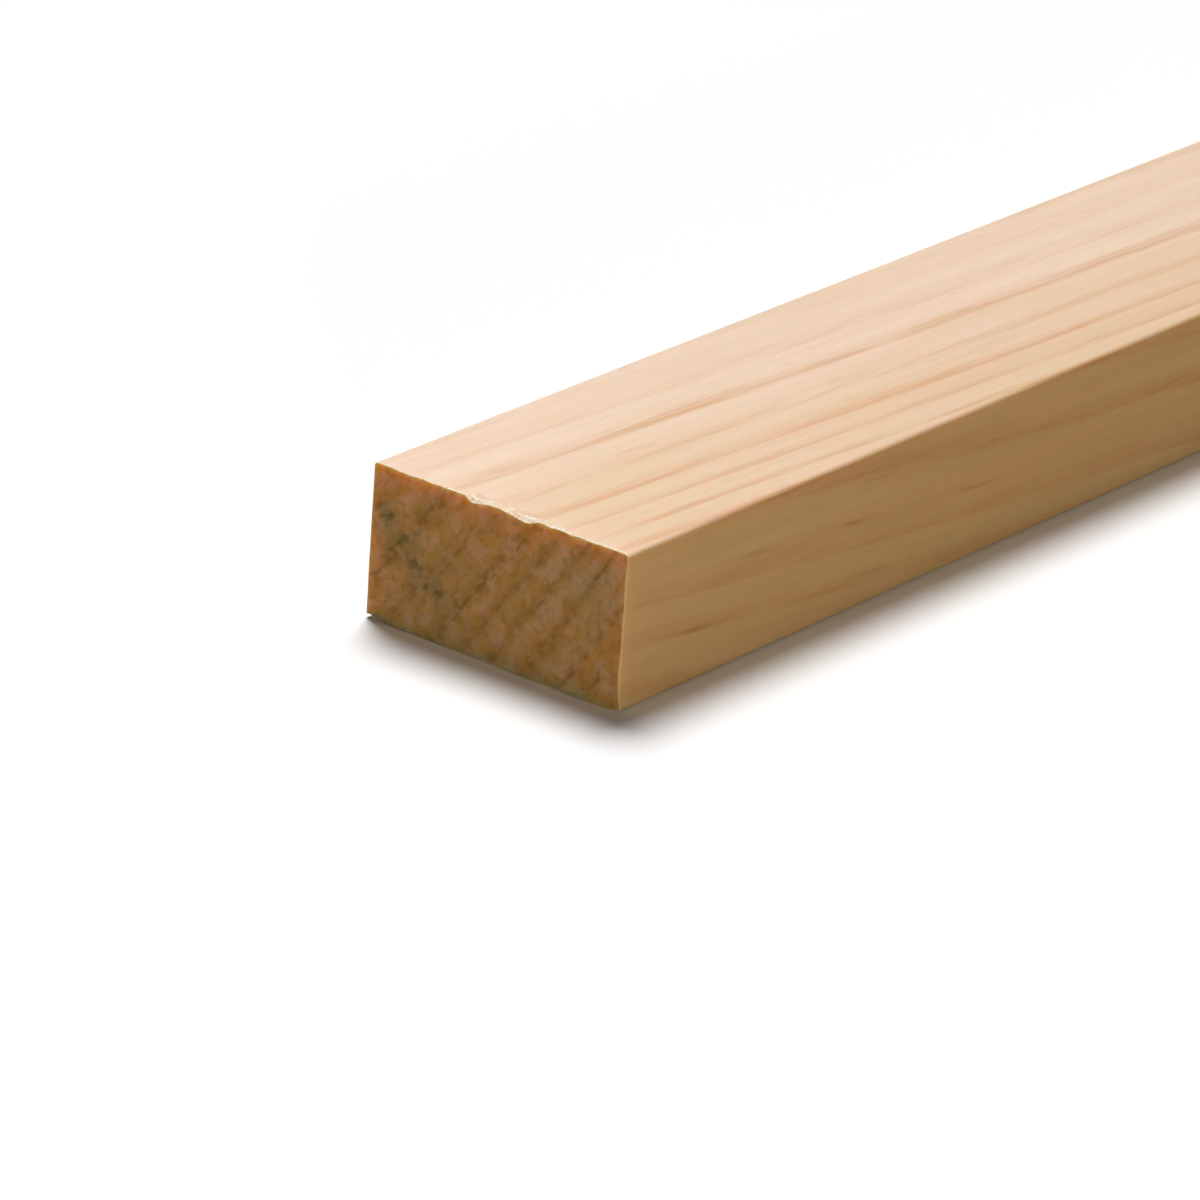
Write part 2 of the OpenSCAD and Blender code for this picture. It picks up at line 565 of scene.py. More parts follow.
def build_strip(planed, sawn):
    """The whole strip as one mesh, with its marks as point attributes and a map for baked finishes."""
    strip = StripMesh()
    places, torn, arris = planed_sides(slice_places())
    add_planed_sides(strip, places, torn, arris)
    add_sawn_end(strip, places, at_far_end=False)
    add_sawn_end(strip, places, at_far_end=True)
    mesh = bpy.data.meshes.new("strip_wood")
    points = np.array(strip.points)
    points[:, 0] += NEAR_END
    mesh.from_pydata((points * MM).tolist(), [], strip.faces)
    mesh.materials.append(planed)
    mesh.materials.append(sawn)
    mesh.polygons.foreach_set("material_index", strip.materials)
    for name, values in (("torn", strip.torn), ("arris", strip.arris)):
        mark = mesh.attributes.new(name, "FLOAT", "POINT")
        mark.data.foreach_set("value", np.array(values, dtype=np.float32))
    layer = mesh.uv_layers.new(name="OFBake")
    layer.uv.foreach_set("vector", np.array(strip.corner_map, dtype=np.float32).ravel())
    mesh.shade_smooth()
    mesh.set_sharp_from_angle(angle=math.radians(SHARP_ANGLE))
    piece = bpy.data.objects.new("strip_wood", mesh)
    bpy.context.scene.collection.objects.link(piece)
    return piece


# Finishes: node helpers, the groups that the two finishes share, and the finishes

def place_node(tree, kind, inputs=None, **settings):
    """Adds a node, sets its options, then fills its inputs with links or values."""
    node = tree.nodes.new(kind)
    for name, value in settings.items():
        setattr(node, name, value)
    for key, value in (inputs or {}).items():
        if isinstance(value, bpy.types.NodeSocket):
            tree.links.new(value, node.inputs[key])
        else:
            node.inputs[key].default_value = value
    return node


def maths(tree, operation, *values):
    """The result of one Math node."""
    return place_node(tree, "ShaderNodeMath", dict(enumerate(values)), operation=operation).outputs[0]


def vectors(tree, operation, *values):
    """The vector that one Vector Math node gives."""
    return place_node(tree, "ShaderNodeVectorMath", dict(enumerate(values)), operation=operation).outputs[0]


def measure(tree, operation, *values):
    """The number that one Vector Math node gives, such as a distance."""
    node = place_node(tree, "ShaderNodeVectorMath", dict(enumerate(values)), operation=operation)
    return node.outputs["Value"]


def combined(tree, *values):
    """Three numbers as one vector."""
    return place_node(tree, "ShaderNodeCombineXYZ", dict(enumerate(values))).outputs[0]


def in_cells(tree, place, cell):
    """A place counted in cells of the given lengths."""
    return vectors(tree, "MULTIPLY", place, [1 / length for length in cell])


def ramp_up(tree, value, start, end, low=0.0, high=1.0):
    """A smooth rise from low to high as value goes from start to end."""
    inputs = {"Value": value, "From Min": start, "From Max": end, "To Min": low, "To Max": high}
    return place_node(tree, "ShaderNodeMapRange", inputs, interpolation_type="SMOOTHSTEP").outputs["Result"]


def blend_colour(tree, share, first, second, mode="MIX"):
    """Two colours blended by a share from 0 to 1."""
    node = place_node(tree, "ShaderNodeMix", data_type="RGBA", blend_type=mode)
    for key, value in (("Factor_Float", share), ("A_Color", first), ("B_Color", second)):
        socket = next(s for s in node.inputs if s.identifier == key)
        if isinstance(value, bpy.types.NodeSocket):
            tree.links.new(value, socket)
        else:
            socket.default_value = value
    return next(s for s in node.outputs if s.identifier == "Result_Color")


def noise(tree, vector, detail=2.0, roughness=0.5):
    """Soft random values from 0 to 1 through space, in cells about 1 across."""
    inputs = {"Vector": vector, "Scale": 1.0, "Detail": detail, "Roughness": roughness}
    return place_node(tree, "ShaderNodeTexNoise", inputs).outputs[0]


def unevenness(tree, place, cell, detail, size):
    """Soft random values about 0, in cells of the given lengths and up to half the size either way."""
    value = noise(tree, in_cells(tree, place, cell), detail=detail)
    return maths(tree, "MULTIPLY", maths(tree, "SUBTRACT", value, 0.5), size)


def strip_place(tree):
    """The surface's place on the strip in millimetres: along from the near end, across and up."""
    spot = place_node(tree, "ShaderNodeTexCoord").outputs["Object"]
    return vectors(tree, "MULTIPLY_ADD", spot, (1 / MM, 1 / MM, 1 / MM), (-NEAR_END, 0.0, 0.0))


def along_part(tree, spot):
    """How far along the strip a place is."""
    return place_node(tree, "ShaderNodeSeparateXYZ", {0: spot}).outputs[0]


def section_part(tree, spot):
    """A place with its distance along the strip left out."""
    return vectors(tree, "MULTIPLY", spot, (0.0, 1.0, 1.0))


def fade_along(tree, along, reach):
    """1 at the near end, fading along the strip to about a third at the reach."""
    return maths(tree, "EXPONENT", maths(tree, "DIVIDE", along, -reach))


def new_group(name, inputs, outputs):
    """An empty node group with named float sockets, and its input and output nodes."""
    tree = bpy.data.node_groups.new(name, "ShaderNodeTree")
    for label, value in inputs.items():
        socket = tree.interface.new_socket(label, in_out="INPUT", socket_type="NodeSocketFloat")
        socket.default_value = value
    for label in outputs:
        tree.interface.new_socket(label, in_out="OUTPUT", socket_type="NodeSocketFloat")
    entry = tree.nodes.new("NodeGroupInput")
    leave = tree.nodes.new("NodeGroupOutput")
    return tree, entry.outputs, leave.inputs


def grain_place(tree):
    """The surface's place along the grain: along the strip, out across the rings and round them."""
    spot = strip_place(tree)
    along = along_part(tree, spot)
    section = section_part(tree, spot)
    from_pith = measure(tree, "DISTANCE", section, (0.0, *PITH))
    out = maths(tree, "SUBTRACT", from_pith, PITH_DISTANCE + RUN_OUT)
    out = maths(tree, "MULTIPLY_ADD", fade_along(tree, along, RUN_OUT_LENGTH), RUN_OUT, out)
    for size, length in WANDER:
        wave = maths(tree, "COSINE", maths(tree, "MULTIPLY", along, 2 * math.pi / length))
        out = maths(tree, "MULTIPLY_ADD", maths(tree, "SUBTRACT", 1.0, wave), size, out)
    tangent = (0.0, -math.sin(PITH_ANGLE), math.cos(PITH_ANGLE))
    around = measure(tree, "DOT_PRODUCT", section, tangent)
    return along, out, around


def growth_rings_group():
    """Growth rings: pale earlywood that darkens to latewood, with a depth of tone for each ring."""
    inputs = {"Waver": 0.3, "Latewood Start": LATEWOOD_START, "Latewood End": LATEWOOD_END}
    tree, given, gives = new_group("Growth rings", inputs, ("Latewood", "Ring Depth", "Heartwood"))
    along, out, around = grain_place(tree)
    sway = unevenness(tree, combined(tree, along, out, around), SWAY_CELL, detail=3.0, size=given["Waver"])
    out = maths(tree, "MULTIPLY_ADD", sway, SWAY_SIZE, out)
    place = maths(tree, "DIVIDE", maths(tree, "SUBTRACT", out, FIRST_RING), RING_SPAN)
    counter = place_node(tree, "ShaderNodeFloatCurve", {"Value": place})
    line = counter.mapping.curves[0].points
    toner = place_node(tree, "ShaderNodeValToRGB", {"Fac": place})
    toner.color_ramp.interpolation = "CONSTANT"
    toner.color_ramp.elements.remove(toner.color_ramp.elements[1])
    toner.color_ramp.elements[0].color = (RING_DEPTHS[0],) * 3 + (1.0,)
    for index, edge in enumerate(RING_EDGES[1:-1], start=1):
        line.new(float(edge - FIRST_RING) / RING_SPAN, index / len(RING_WIDTHS))
        middle = float(edge + RING_EDGES[index + 1]) / 2
        tone = (RING_DEPTHS[index],) * 3 + (1.0,)
        toner.color_ramp.elements.new((middle - FIRST_RING) / RING_SPAN).color = tone
    for point in line:
        point.handle_type = "VECTOR"
    counter.mapping.update()
    count = maths(tree, "MULTIPLY_ADD", counter.outputs[0], float(len(RING_WIDTHS)), 0.5)
    share = maths(tree, "ADD", maths(tree, "FRACT", count), 0.5)
    rise = ramp_up(tree, share, given["Latewood Start"], 1.0)
    fall = ramp_up(tree, share, 1.0, given["Latewood End"], 1.0, 0.0)
    tree.links.new(maths(tree, "MULTIPLY", rise, fall), gives["Latewood"])
    tree.links.new(toner.outputs["Color"], gives["Ring Depth"])
    tree.links.new(ramp_up(tree, out, HEARTWOOD_INNER, HEARTWOOD_OUTER, 1.0, 0.0), gives["Heartwood"])
    return tree


def wood_fibre_group():
    """Wood fibre: streaks of the given length and width along the grain, or patches on end grain."""
    inputs = {"Length": 30.0, "Width": 0.4, "Ring Stretch": 1.0, "Roughness": 0.6}
    tree, given, gives = new_group("Wood fibre", inputs, ("Fibre",))
    along, out, around = grain_place(tree)
    along = maths(tree, "DIVIDE", along, given["Length"])
    out = maths(tree, "DIVIDE", out, given["Width"])
    around = maths(tree, "DIVIDE", maths(tree, "DIVIDE", around, given["Ring Stretch"]), given["Width"])
    streak = noise(tree, combined(tree, along, out, around), detail=3.0, roughness=given["Roughness"])
    tree.links.new(ramp_up(tree, streak, *FIBRE_CONTRAST), gives["Fibre"])
    return tree


def resin_streak(tree, spot, ragged, place, length, depth):
    """One resin streak along the grain of its face, and the trail of stained wood round it."""
    turn = (0.0, -math.atan(RESIN_SLOPE_SIDE), 0.0)
    if place[2] == THICKNESS:
        turn = (0.0, 0.0, math.atan(RESIN_SLOPE_TOP))
    inputs = {
        "Vector": spot,
        "Location": place,
        "Rotation": turn,
        "Scale": (length / 2, RESIN_HALF_WIDTH, RESIN_HALF_WIDTH),
    }
    inside = place_node(tree, "ShaderNodeMapping", inputs, vector_type="TEXTURE").outputs[0]
    from_core = maths(tree, "ADD", measure(tree, "LENGTH", inside), ragged)
    core = ramp_up(tree, from_core, *RESIN_EDGE, low=depth, high=0.0)
    longer = in_cells(tree, inside, RESIN_TRAIL)
    from_trail = maths(tree, "ADD", measure(tree, "LENGTH", longer), ragged)
    return core, ramp_up(tree, from_trail, *TRAIL_EDGE, low=depth, high=0.0)


def resin_group():
    """Resin: streaks where ducts show, the stained wood that trails off from them, and fine ducts."""
    tree, given, gives = new_group("Resin", {"Fine Ducts": 0.5}, ("Resin", "Trail"))
    spot = strip_place(tree)
    grain = combined(tree, *grain_place(tree))
    ragged = unevenness(tree, grain, RESIN_RAGGED_CELL, detail=1.0, size=RESIN_RAGGED_SIZE)
    inputs = {"Vector": in_cells(tree, grain, DUCT_CELL), "Scale": 1.0}
    ducts = place_node(tree, "ShaderNodeTexVoronoi", inputs)
    fine = ramp_up(tree, ducts.outputs["Distance"], *DUCT_EDGE, low=1.0, high=0.0)
    chosen = place_node(tree, "ShaderNodeSeparateColor", {0: ducts.outputs["Color"]}).outputs[0]
    fine = maths(tree, "MULTIPLY", fine, maths(tree, "GREATER_THAN", chosen, DUCTS_LEFT_OUT))
    resin = maths(tree, "MULTIPLY", fine, given["Fine Ducts"])
    trail = 0.0
    for *place, length, depth in RESIN_STREAKS:
        core, tail = resin_streak(tree, spot, ragged, place, length, depth)
        resin = maths(tree, "MAXIMUM", resin, core)
        trail = maths(tree, "MAXIMUM", trail, tail)
    tree.links.new(resin, gives["Resin"])
    tree.links.new(trail, gives["Trail"])
    return tree


def sap_stain_group():
    """Sap stain: a ragged grey band that follows the wood rays in from the back face."""
    tree, given, gives = new_group("Sap stain", {"Raggedness": 1.5}, ("Stain",))
    spot = strip_place(tree)
    along = along_part(tree, spot)
    run = Vector((0.0, STAIN_OUTER[0] - STAIN_INNER[0], STAIN_OUTER[1] - STAIN_INNER[1]))
    length = run.length
    run.normalize()
    aside = Vector((0.0, -run.z, run.y))
    from_inner = vectors(tree, "SUBTRACT", spot, (0.0, *STAIN_INNER))
    beside = measure(tree, "DOT_PRODUCT", from_inner, aside)
    onward = measure(tree, "DOT_PRODUCT", from_inner, run)
    ragged = unevenness(tree, spot, STAIN_RAGGED_CELL, detail=3.0, size=given["Raggedness"])
    aside_by = maths(tree, "MULTIPLY_ADD", ragged, STAIN_RAGGED_SIZE, maths(tree, "ABSOLUTE", beside))
    sides = [share * STAIN_HALF_WIDTH for share in STAIN_SIDES]
    band = ramp_up(tree, aside_by, *sides, low=1.0, high=0.0)
    blotch = noise(tree, in_cells(tree, combined(tree, along, onward, beside), STAIN_BLOTCH_CELL))
    band = maths(tree, "MULTIPLY", band, ramp_up(tree, blotch, start=0.3, end=0.65, low=0.5))
    band = maths(tree, "MULTIPLY", band, ramp_up(tree, onward, *[share * length for share in STAIN_FADE]))
    band = maths(tree, "MULTIPLY", band, fade_along(tree, along, STAIN_LENGTH))
    tree.links.new(band, gives["Stain"])
    return tree


def rubbed_edge_group():
    """Rubbed edges: where handling has worn and dulled the arrises, in broken stretches."""
    tree, given, gives = new_group("Rubbed edges", {"Patch Length": 14.0}, ("Rub",))
    arris = place_node(tree, "ShaderNodeAttribute", attribute_name="arris").outputs["Fac"]
    patch = combined(tree, given["Patch Length"], RUB_PATCH_WIDTH, RUB_PATCH_WIDTH)
    patches = noise(tree, vectors(tree, "DIVIDE", strip_place(tree), patch), detail=4.0, roughness=0.6)
    tree.links.new(maths(tree, "MULTIPLY", arris, ramp_up(tree, patches, *RUB_CONTRAST)), gives["Rub"])
    return tree


rings_group = growth_rings_group()
fibre_group = wood_fibre_group()
resin_marks = resin_group()
stain_marks = sap_stain_group()
rubbed_edges = rubbed_edge_group()

# Colours of the planed faces, then of the sawn ends
SAPWOOD = (0.88, 0.65, 0.465, 1.0)
HEARTWOOD = (0.945, 0.725, 0.575, 1.0)
LATEWOOD = (0.745, 0.425, 0.23, 1.0)
ROSY_STREAK = (0.86, 0.53, 0.35, 1.0)
STRAW_STREAK = (0.76, 0.58, 0.34, 1.0)
FIBRE_SHADE = (0.74, 0.49, 0.30, 1.0)
# Painted shade that darkens the wood away from the near end, standing in for light falling off along the
# strip
PAINTED_FALLOFF_SHADE = (0.86, 0.85, 0.83, 1.0)
RESIN_BROWN = (0.40, 0.19, 0.065, 1.0)
STAIN_GREY = (0.30, 0.29, 0.25, 1.0)
CRUSHED_PINK = (0.99, 0.69, 0.51, 1.0)
TORN_CREAM = (0.99, 0.82, 0.63, 1.0)
# Pale fresh fibre with a painted highlight, on the torn lip and ledge
TORN_PALE_AND_HIGHLIGHT = (1.0, 0.93, 0.78, 1.0)
# Painted shade in the gaps between the torn strands
TORN_SHADE = (0.66, 0.43, 0.22, 1.0)
RUBBED_TAN = (0.62, 0.42, 0.24, 1.0)
END_BROWN = (0.64, 0.42, 0.26, 1.0)
END_LATEWOOD = (0.36, 0.215, 0.085, 1.0)
END_ORANGE = (0.72, 0.42, 0.19, 1.0)
END_GOLD = (0.66, 0.42, 0.16, 1.0)
END_MAUVE = (0.76, 0.54, 0.46, 1.0)
END_DARK_SPECK = (0.33, 0.20, 0.08, 1.0)
END_STAIN = (0.31, 0.29, 0.21, 1.0)
END_STAIN_SPOT = (0.20, 0.15, 0.06, 1.0)
END_GREY = (0.62, 0.52, 0.47, 1.0)

# How deeply each mark tints the planed faces, and how it changes their gloss and relief
STREAK_DEPTH = 0.5
HEARTWOOD_CALM = 0.25
FIBRE_DEPTH = 0.18
TRAIL_DEPTH = 0.5
RESIN_DEPTH = 0.65
STAIN_DEPTH = 0.4
CRUSHED_DEPTH = 0.6
RUB_DEPTH = 0.2
CREAM_DEPTH = 0.8
# How deep the painted shade between the torn strands is
STRAND_SHADE_DEPTH = 0.75
PLANED_ROUGHNESS = 0.58
FIBRE_ROUGHNESS = 0.1
LATEWOOD_SHEEN = 0.08
TORN_ROUGHNESS = 0.2
FIBRE_BUMP = 0.03
STRAND_BUMPS = 5.0

# The same for the sawn ends
MAUVE_DEPTH = 0.85
GOLD_DEPTH = 0.7
GREYED_DEPTH = 0.75
BAND_DEPTH = 0.42
PALE_BAND_DEPTH = 0.08
FAINT_LINE = 0.1
SPECK_DEPTH = 0.38
END_RESIN_DEPTH = 0.55
END_STAIN_DEPTH = 0.7
STAIN_SPOT_DEPTH = 0.8
SCRATCH_DEPTH = 0.05
END_RUB_DEPTH = 0.25
END_ROUGHNESS = 0.76
SPECK_ROUGHNESS = 0.12
END_BUMP = 0.1
SPECK_BUMP = 0.8
SCRATCH_BUMP = 0.25


def use_group(tree, group, **values):
    """Places a shared group in a finish with that finish's own values, and gives its outputs."""
    node = place_node(tree, "ShaderNodeGroup", node_tree=group)
    for name, value in values.items():
        node.inputs[name.replace("_", " ")].default_value = value
    return node.outputs


def new_finish(name):
    """An empty material with its Principled shader."""
    finish = bpy.data.materials.new(name)
    finish.use_nodes = True
    tree = finish.node_tree
    return finish, tree, tree.nodes["Principled BSDF"]


def tint(tree, colour, mask, depth, shade):
    """A colour blended towards a shade where the mask is, as far as the depth says."""
    return blend_colour(tree, maths(tree, "MULTIPLY", mask, depth), colour, shade)


def set_wood_body(shader, specular, weight, radius, depth):
    """The wood's plain gloss, and how far light goes into it."""
    shader.inputs["Specular IOR Level"].default_value = specular
    shader.inputs["Subsurface Weight"].default_value = weight
    shader.inputs["Subsurface Radius"].default_value = radius
    shader.inputs["Subsurface Scale"].default_value = depth * MM


def planed_softwood():
    """Long grain as the planer leaves it, with resin, a stain and rubbed arrises, torn at the near end.

    Painted shade darkens the wood away from the near end. The torn edge has a painted highlight on its lip
    and ledge, and painted shade between its strands.
    """
    finish, tree, shader = new_finish("planed_softwood")
    rings = use_group(tree, rings_group, Waver=0.4, Latewood_Start=0.62, Latewood_End=1.16)
    broad = use_group(tree, fibre_group, Length=150.0, Width=2.6, Roughness=0.25)["Fibre"]
    straw = use_group(tree, fibre_group, Length=60.0, Width=2.0, Roughness=0.25)["Fibre"]
    patchy = use_group(tree, fibre_group, Length=22.0, Width=1.5, Roughness=0.5)["Fibre"]
    fine = use_group(tree, fibre_group, Length=24.0, Width=0.4, Roughness=0.6)["Fibre"]
    strands = use_group(tree, fibre_group, Length=2.5, Width=0.36, Roughness=0.6)["Fibre"]
    marks = use_group(tree, resin_marks, Fine_Ducts=0.2)
    stain = use_group(tree, stain_marks, Raggedness=1.2)["Stain"]
    rub = use_group(tree, rubbed_edges, Patch_Length=18.0)["Rub"]
    torn = place_node(tree, "ShaderNodeAttribute", attribute_name="torn").outputs["Fac"]
    along = along_part(tree, strip_place(tree))
    # Painted shade: 0 at the near end, rising along the strip
    painted_falloff = maths(tree, "SUBTRACT", 1.0, fade_along(tree, along, PAINTED_FALLOFF_LENGTH))
    crushed = fade_along(tree, along, CRUSHED_LENGTH)
    streak_depth = maths(tree, "MULTIPLY_ADD", rings["Heartwood"], -HEARTWOOD_CALM, STREAK_DEPTH)
    line = maths(tree, "MULTIPLY", rings["Latewood"], rings["Ring Depth"])
    line = maths(tree, "MULTIPLY", line, ramp_up(tree, patchy, start=0.0, end=0.75, low=0.5))
    line = maths(tree, "MULTIPLY", line, ramp_up(tree, fine, start=0.1, end=0.9, low=0.7, high=1.25))
    fibre_shade = ramp_up(tree, fine, start=0.4, end=1.0, high=FIBRE_DEPTH)
    cream = ramp_up(tree, torn, start=0.0, end=0.5, high=CREAM_DEPTH)
    # Painted highlight over the pale torn fibre, where the torn mark is strongest
    bright = ramp_up(tree, torn, start=0.35, end=0.9)
    loose = ramp_up(tree, torn, start=0.1, end=0.5)
    # Painted shade in the gaps between the torn strands
    strand_gap_shade = ramp_up(tree, strands, start=0.45, end=0.95, high=STRAND_SHADE_DEPTH)
    colour = blend_colour(tree, rings["Heartwood"], SAPWOOD, HEARTWOOD)
    colour = tint(tree, colour, broad, streak_depth, ROSY_STREAK)
    colour = tint(tree, colour, straw, streak_depth, STRAW_STREAK)
    colour = blend_colour(tree, line, colour, LATEWOOD)
    colour = blend_colour(tree, fibre_shade, colour, FIBRE_SHADE)
    # Painted shade, darker away from the near end
    colour = blend_colour(tree, painted_falloff, colour, PAINTED_FALLOFF_SHADE, "MULTIPLY")
    colour = tint(tree, colour, marks["Trail"], TRAIL_DEPTH, LATEWOOD)
    colour = tint(tree, colour, marks["Resin"], RESIN_DEPTH, RESIN_BROWN)
    colour = tint(tree, colour, stain, STAIN_DEPTH, STAIN_GREY)
    colour = tint(tree, colour, crushed, CRUSHED_DEPTH, CRUSHED_PINK)
    colour = tint(tree, colour, rub, RUB_DEPTH, RUBBED_TAN)
    # The torn edge: pale fresh fibre, a painted highlight on its lip and ledge, and painted shade between
    # its strands
    colour = blend_colour(tree, cream, colour, TORN_CREAM)
    colour = blend_colour(tree, bright, colour, TORN_PALE_AND_HIGHLIGHT)
    # Painted shade between the torn strands
    colour = tint(tree, colour, loose, strand_gap_shade, TORN_SHADE)
    tree.links.new(colour, shader.inputs["Base Color"])
    rough = maths(tree, "MULTIPLY_ADD", fine, FIBRE_ROUGHNESS, PLANED_ROUGHNESS)
    rough = maths(tree, "MULTIPLY_ADD", rings["Latewood"], -LATEWOOD_SHEEN, rough)
    rough = maths(tree, "MULTIPLY_ADD", torn, TORN_ROUGHNESS, rough)
    tree.links.new(rough, shader.inputs["Roughness"])
    height = maths(tree, "MULTIPLY_ADD", maths(tree, "MULTIPLY", torn, strands), STRAND_BUMPS, fine)
    inputs = {"Strength": 0.5, "Distance": FIBRE_BUMP * MM, "Height": height}
    bump = place_node(tree, "ShaderNodeBump", inputs, invert=True)
    tree.links.new(bump.outputs[0], shader.inputs["Normal"])
    set_wood_body(shader, specular=0.2, weight=0.3, radius=(1.0, 0.42, 0.16), depth=3.0)
    return finish


def sawn_end_grain():
    """End grain as the saw leaves it: darker and blotched, with broken rings, a stain and saw scratches."""
    finish, tree, shader = new_finish("sawn_end_grain")
    rings = use_group(tree, rings_group, Waver=0.6, Latewood_Start=0.74, Latewood_End=1.16)
    bands = use_group(tree, rings_group, Waver=1.0, Latewood_Start=0.3, Latewood_End=1.45)
    warm = use_group(tree, fibre_group, Length=9.0, Width=3.2, Ring_Stretch=1.1, Roughness=0.35)["Fibre"]
    gold = use_group(tree, fibre_group, Length=14.0, Width=2.0, Ring_Stretch=1.0, Roughness=0.5)["Fibre"]
    pale = use_group(tree, fibre_group, Length=11.0, Width=2.8, Ring_Stretch=1.0, Roughness=0.5)["Fibre"]
    dash = use_group(tree, fibre_group, Length=6.0, Width=1.0, Ring_Stretch=1.4, Roughness=0.3)["Fibre"]
    speck = use_group(tree, fibre_group, Length=2.0, Width=1.1, Ring_Stretch=1.3, Roughness=0.65)["Fibre"]
    resin = use_group(tree, resin_marks, Fine_Ducts=0.5)["Resin"]
    stain = use_group(tree, stain_marks, Raggedness=1.5)["Stain"]
    rub = use_group(tree, rubbed_edges, Patch_Length=3.0)["Rub"]
    spot = strip_place(tree)
    from_middle = measure(tree, "DISTANCE", spot, (0.0, *GREYED_MIDDLE))
    greyed = ramp_up(tree, from_middle, start=0.0, end=GREYED_REACH, low=GREYED_DEPTH, high=0.0)
    from_axle = measure(tree, "DISTANCE", section_part(tree, spot), (0.0, *SAW_AXLE))
    scratch = maths(tree, "SINE", maths(tree, "MULTIPLY", from_axle, 2 * math.pi / SAW_PITCH))
    scratch = maths(tree, "MULTIPLY_ADD", scratch, 0.5, 0.5)
    band = maths(tree, "MULTIPLY", bands["Latewood"], bands["Ring Depth"])
    band_depth = ramp_up(tree, pale, start=0.0, end=1.0, low=BAND_DEPTH, high=PALE_BAND_DEPTH)
    line = maths(tree, "MULTIPLY", rings["Latewood"], rings["Ring Depth"])
    line_dashes = ramp_up(tree, dash, start=0.25, end=1.0, low=FAINT_LINE)
    stain_spots = ramp_up(tree, dash, start=0.5, end=1.0, high=STAIN_SPOT_DEPTH)
    mauve = ramp_up(tree, pale, start=0.2, end=1.0, high=MAUVE_DEPTH)
    golden = ramp_up(tree, gold, start=0.45, end=1.0, high=GOLD_DEPTH)
    greyed_patches = ramp_up(tree, pale, start=0.1, end=0.7, low=0.4)
    specks = ramp_up(tree, speck, start=0.4, end=1.0, high=SPECK_DEPTH)
    colour = blend_colour(tree, warm, END_BROWN, END_ORANGE)
    colour = blend_colour(tree, mauve, colour, END_MAUVE)
    colour = blend_colour(tree, golden, colour, END_GOLD)
    colour = tint(tree, colour, greyed, greyed_patches, END_GREY)
    colour = tint(tree, colour, band, band_depth, END_LATEWOOD)
    colour = tint(tree, colour, line, line_dashes, END_LATEWOOD)
    colour = blend_colour(tree, specks, colour, END_DARK_SPECK)
    colour = tint(tree, colour, resin, END_RESIN_DEPTH, RESIN_BROWN)
    colour = tint(tree, colour, stain, END_STAIN_DEPTH, END_STAIN)
    colour = tint(tree, colour, stain, stain_spots, END_STAIN_SPOT)
    colour = tint(tree, colour, scratch, SCRATCH_DEPTH, END_DARK_SPECK)
    colour = tint(tree, colour, rub, END_RUB_DEPTH, END_MAUVE)
    tree.links.new(colour, shader.inputs["Base Color"])
    rough = maths(tree, "MULTIPLY_ADD", speck, SPECK_ROUGHNESS, END_ROUGHNESS)
    tree.links.new(rough, shader.inputs["Roughness"])
    sunk = maths(tree, "MULTIPLY", speck, -SPECK_BUMP)
    height = maths(tree, "MULTIPLY_ADD", scratch, SCRATCH_BUMP, sunk)
    inputs = {"Strength": 0.6, "Distance": END_BUMP * MM, "Height": height}
    bump = place_node(tree, "ShaderNodeBump", inputs)
    tree.links.new(bump.outputs[0], shader.inputs["Normal"])
    set_wood_body(shader, specular=0.15, weight=0.75, radius=(1.0, 0.35, 0.12), depth=6.5)
    return finish


# Studio: the floor, the light and the camera

FLOOR_WHITE = (0.99, 0.99, 1.0, 1.0)
FLOOR_WARM = (0.265, 0.2, 0.072, 1.0)
FLOOR_LIFT = 0.035


def shown_rays(tree):
    """1 for rays that show a surface to the camera, also in gloss or through glass, and 0 for the rest."""
    path = place_node(tree, "ShaderNodeLightPath").outputs
    shown = maths(tree, "MAXIMUM", path["Is Camera Ray"], path["Is Glossy Ray"])
    return maths(tree, "MAXIMUM", shown, path["Is Transmission Ray"])


def floor_finish():
    """A floor that shows white with the strip's shadow, gives back warm light and is clear from below."""
    finish, tree, shader = new_finish("pale_floor")
    tree.nodes.remove(shader)
    shown = shown_rays(tree)
    colour = blend_colour(tree, shown, FLOOR_WARM, FLOOR_WHITE)
    matt = place_node(tree, "ShaderNodeBsdfDiffuse", {"Color": colour}).outputs[0]
    lift = place_node(tree, "ShaderNodeEmission", {"Strength": maths(tree, "MULTIPLY", shown, FLOOR_LIFT)})
    top = place_node(tree, "ShaderNodeAddShader", {0: matt, 1: lift.outputs[0]}).outputs[0]
    below = place_node(tree, "ShaderNodeNewGeometry").outputs["Backfacing"]
    clear = place_node(tree, "ShaderNodeBsdfTransparent").outputs[0]
    both = place_node(tree, "ShaderNodeMixShader", {0: below, 1: top, 2: clear}).outputs[0]
    tree.links.new(both, tree.nodes["Material Output"].inputs["Surface"])
    return finish


def build_floor():
    """A wide level floor just under the strip."""
    reach = FLOOR_REACH * MM
    level = -FLOOR_DROP * MM
    outline = ((-1, -1), (1, -1), (1, 1), (-1, 1))
    corners = [(side * reach, end * reach, level) for side, end in outline]
    mesh = bpy.data.meshes.new("floor")
    mesh.from_pydata(corners, [], [(0, 1, 2, 3)])
    mesh.materials.append(floor_finish())
    floor = bpy.data.objects.new("floor", mesh)
    bpy.context.scene.collection.objects.link(floor)


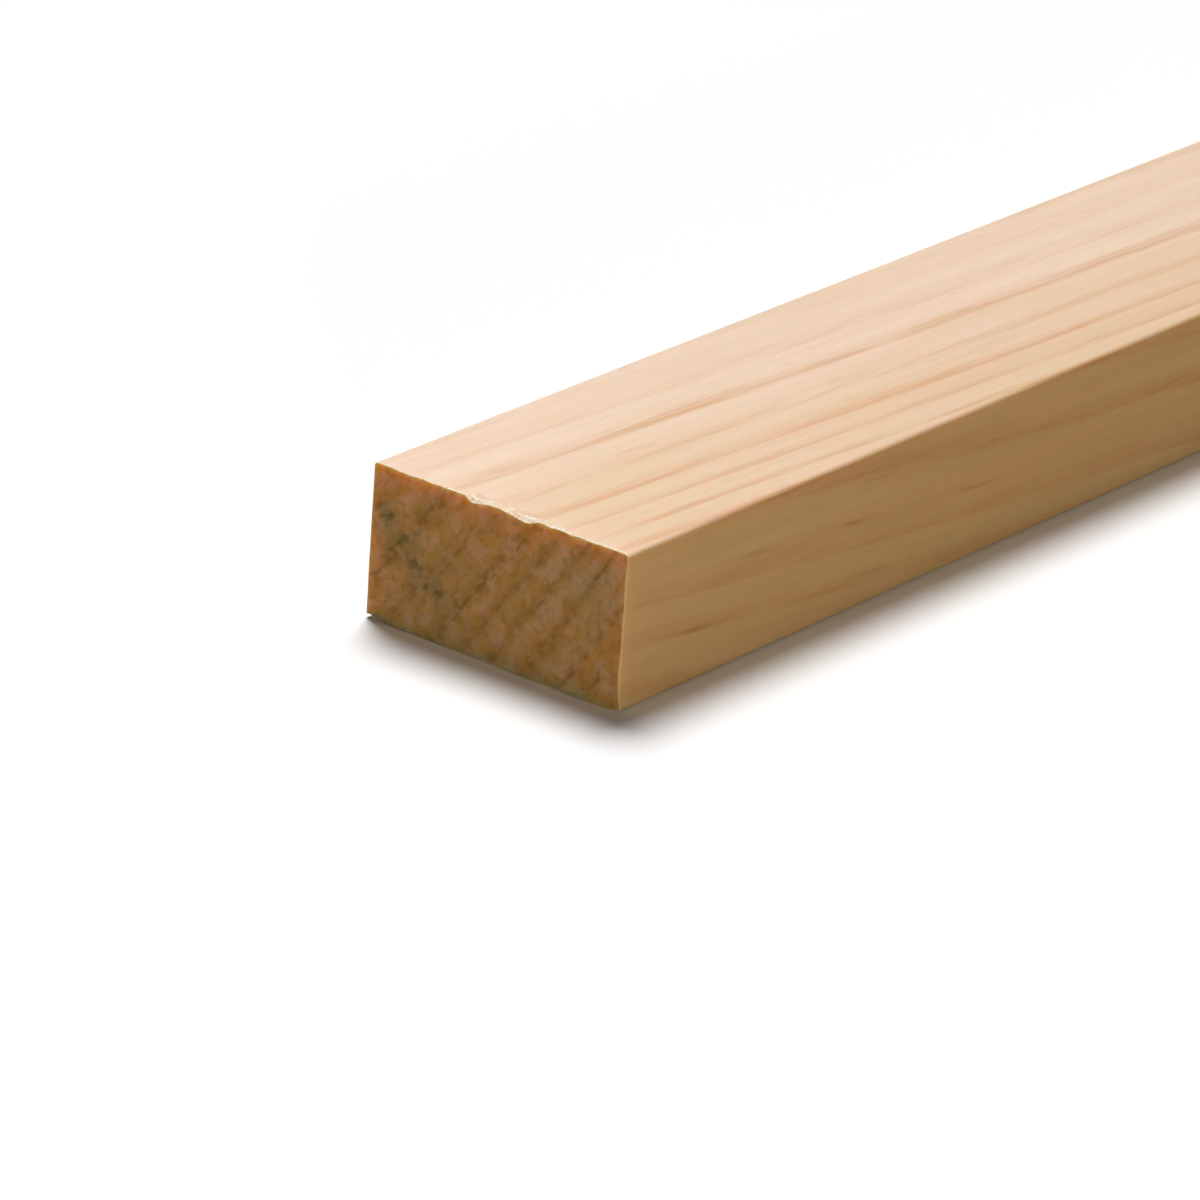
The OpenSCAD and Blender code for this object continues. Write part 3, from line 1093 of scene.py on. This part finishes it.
def add_sun(name, heading, height, spread, strength, colour):
    """A distant lamp, as soft as its spread."""
    lamp = bpy.data.lights.new(name, "SUN")
    lamp.energy = strength
    lamp.angle = math.radians(spread)
    lamp.color = colour
    sun = bpy.data.objects.new(name, lamp)
    level = Vector((math.cos(math.radians(heading)), math.sin(math.radians(heading)), 0.0))
    towards = level * math.cos(math.radians(height)) + Vector((0.0, 0.0, math.sin(math.radians(height))))
    sun.rotation_mode = "QUATERNION"
    sun.rotation_quaternion = towards.to_track_quat("Z", "Y")
    bpy.context.scene.collection.objects.link(sun)


def build_light():
    """A soft key from high behind the strip, a low warm fill from the front, and a sky that shows white."""
    add_sun("key", KEY_HEADING, KEY_HEIGHT, KEY_SPREAD, KEY_STRENGTH, KEY_COLOUR)
    add_sun("fill", FILL_HEADING, FILL_HEIGHT, FILL_SPREAD, FILL_STRENGTH, FILL_COLOUR)
    world = bpy.data.worlds.new("sky")
    world.use_nodes = True
    tree = world.node_tree
    strength = maths(tree, "MULTIPLY_ADD", shown_rays(tree), 1.0 - SKY_LEVEL, SKY_LEVEL)
    tree.links.new(strength, tree.nodes["Background"].inputs["Strength"])
    tree.nodes["Background"].inputs["Color"].default_value = (1.0, 1.0, 1.0, 1.0)
    bpy.context.scene.world = world


def build_camera():
    """The camera at the viewing angle of the photograph, aimed at the near end."""
    heading, dip = math.radians(CAMERA_HEADING), math.radians(CAMERA_DIP)
    look = Vector((math.cos(heading) * math.cos(dip), math.sin(heading) * math.cos(dip), -math.sin(dip)))
    level_right = look.cross(Vector((0, 0, 1))).normalized()
    level_up = level_right.cross(look)
    roll = math.radians(CAMERA_ROLL)
    right = level_right * math.cos(roll) + level_up * math.sin(roll)
    up = right.cross(look)
    lens = bpy.data.cameras.new("camera")
    lens.lens = CAMERA_LENS
    lens.sensor_width = SENSOR_WIDTH
    lens.clip_start = CAMERA_NEAREST * MM
    camera = bpy.data.objects.new("camera", lens)
    turned = Matrix((right, up, -look)).transposed().to_4x4()
    stand = to_metres(*CAMERA_AIM) - look * CAMERA_DISTANCE * MM
    camera.matrix_world = Matrix.Translation(stand) @ turned
    bpy.context.scene.collection.objects.link(camera)
    bpy.context.scene.camera = camera


build_camera()
build_floor()
build_light()
strip_wood = build_strip(planed_softwood(), sawn_end_grain())
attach(strip_wood, "root")
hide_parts("furring_strip")
bpy.context.scene.view_settings.view_transform = "Standard"
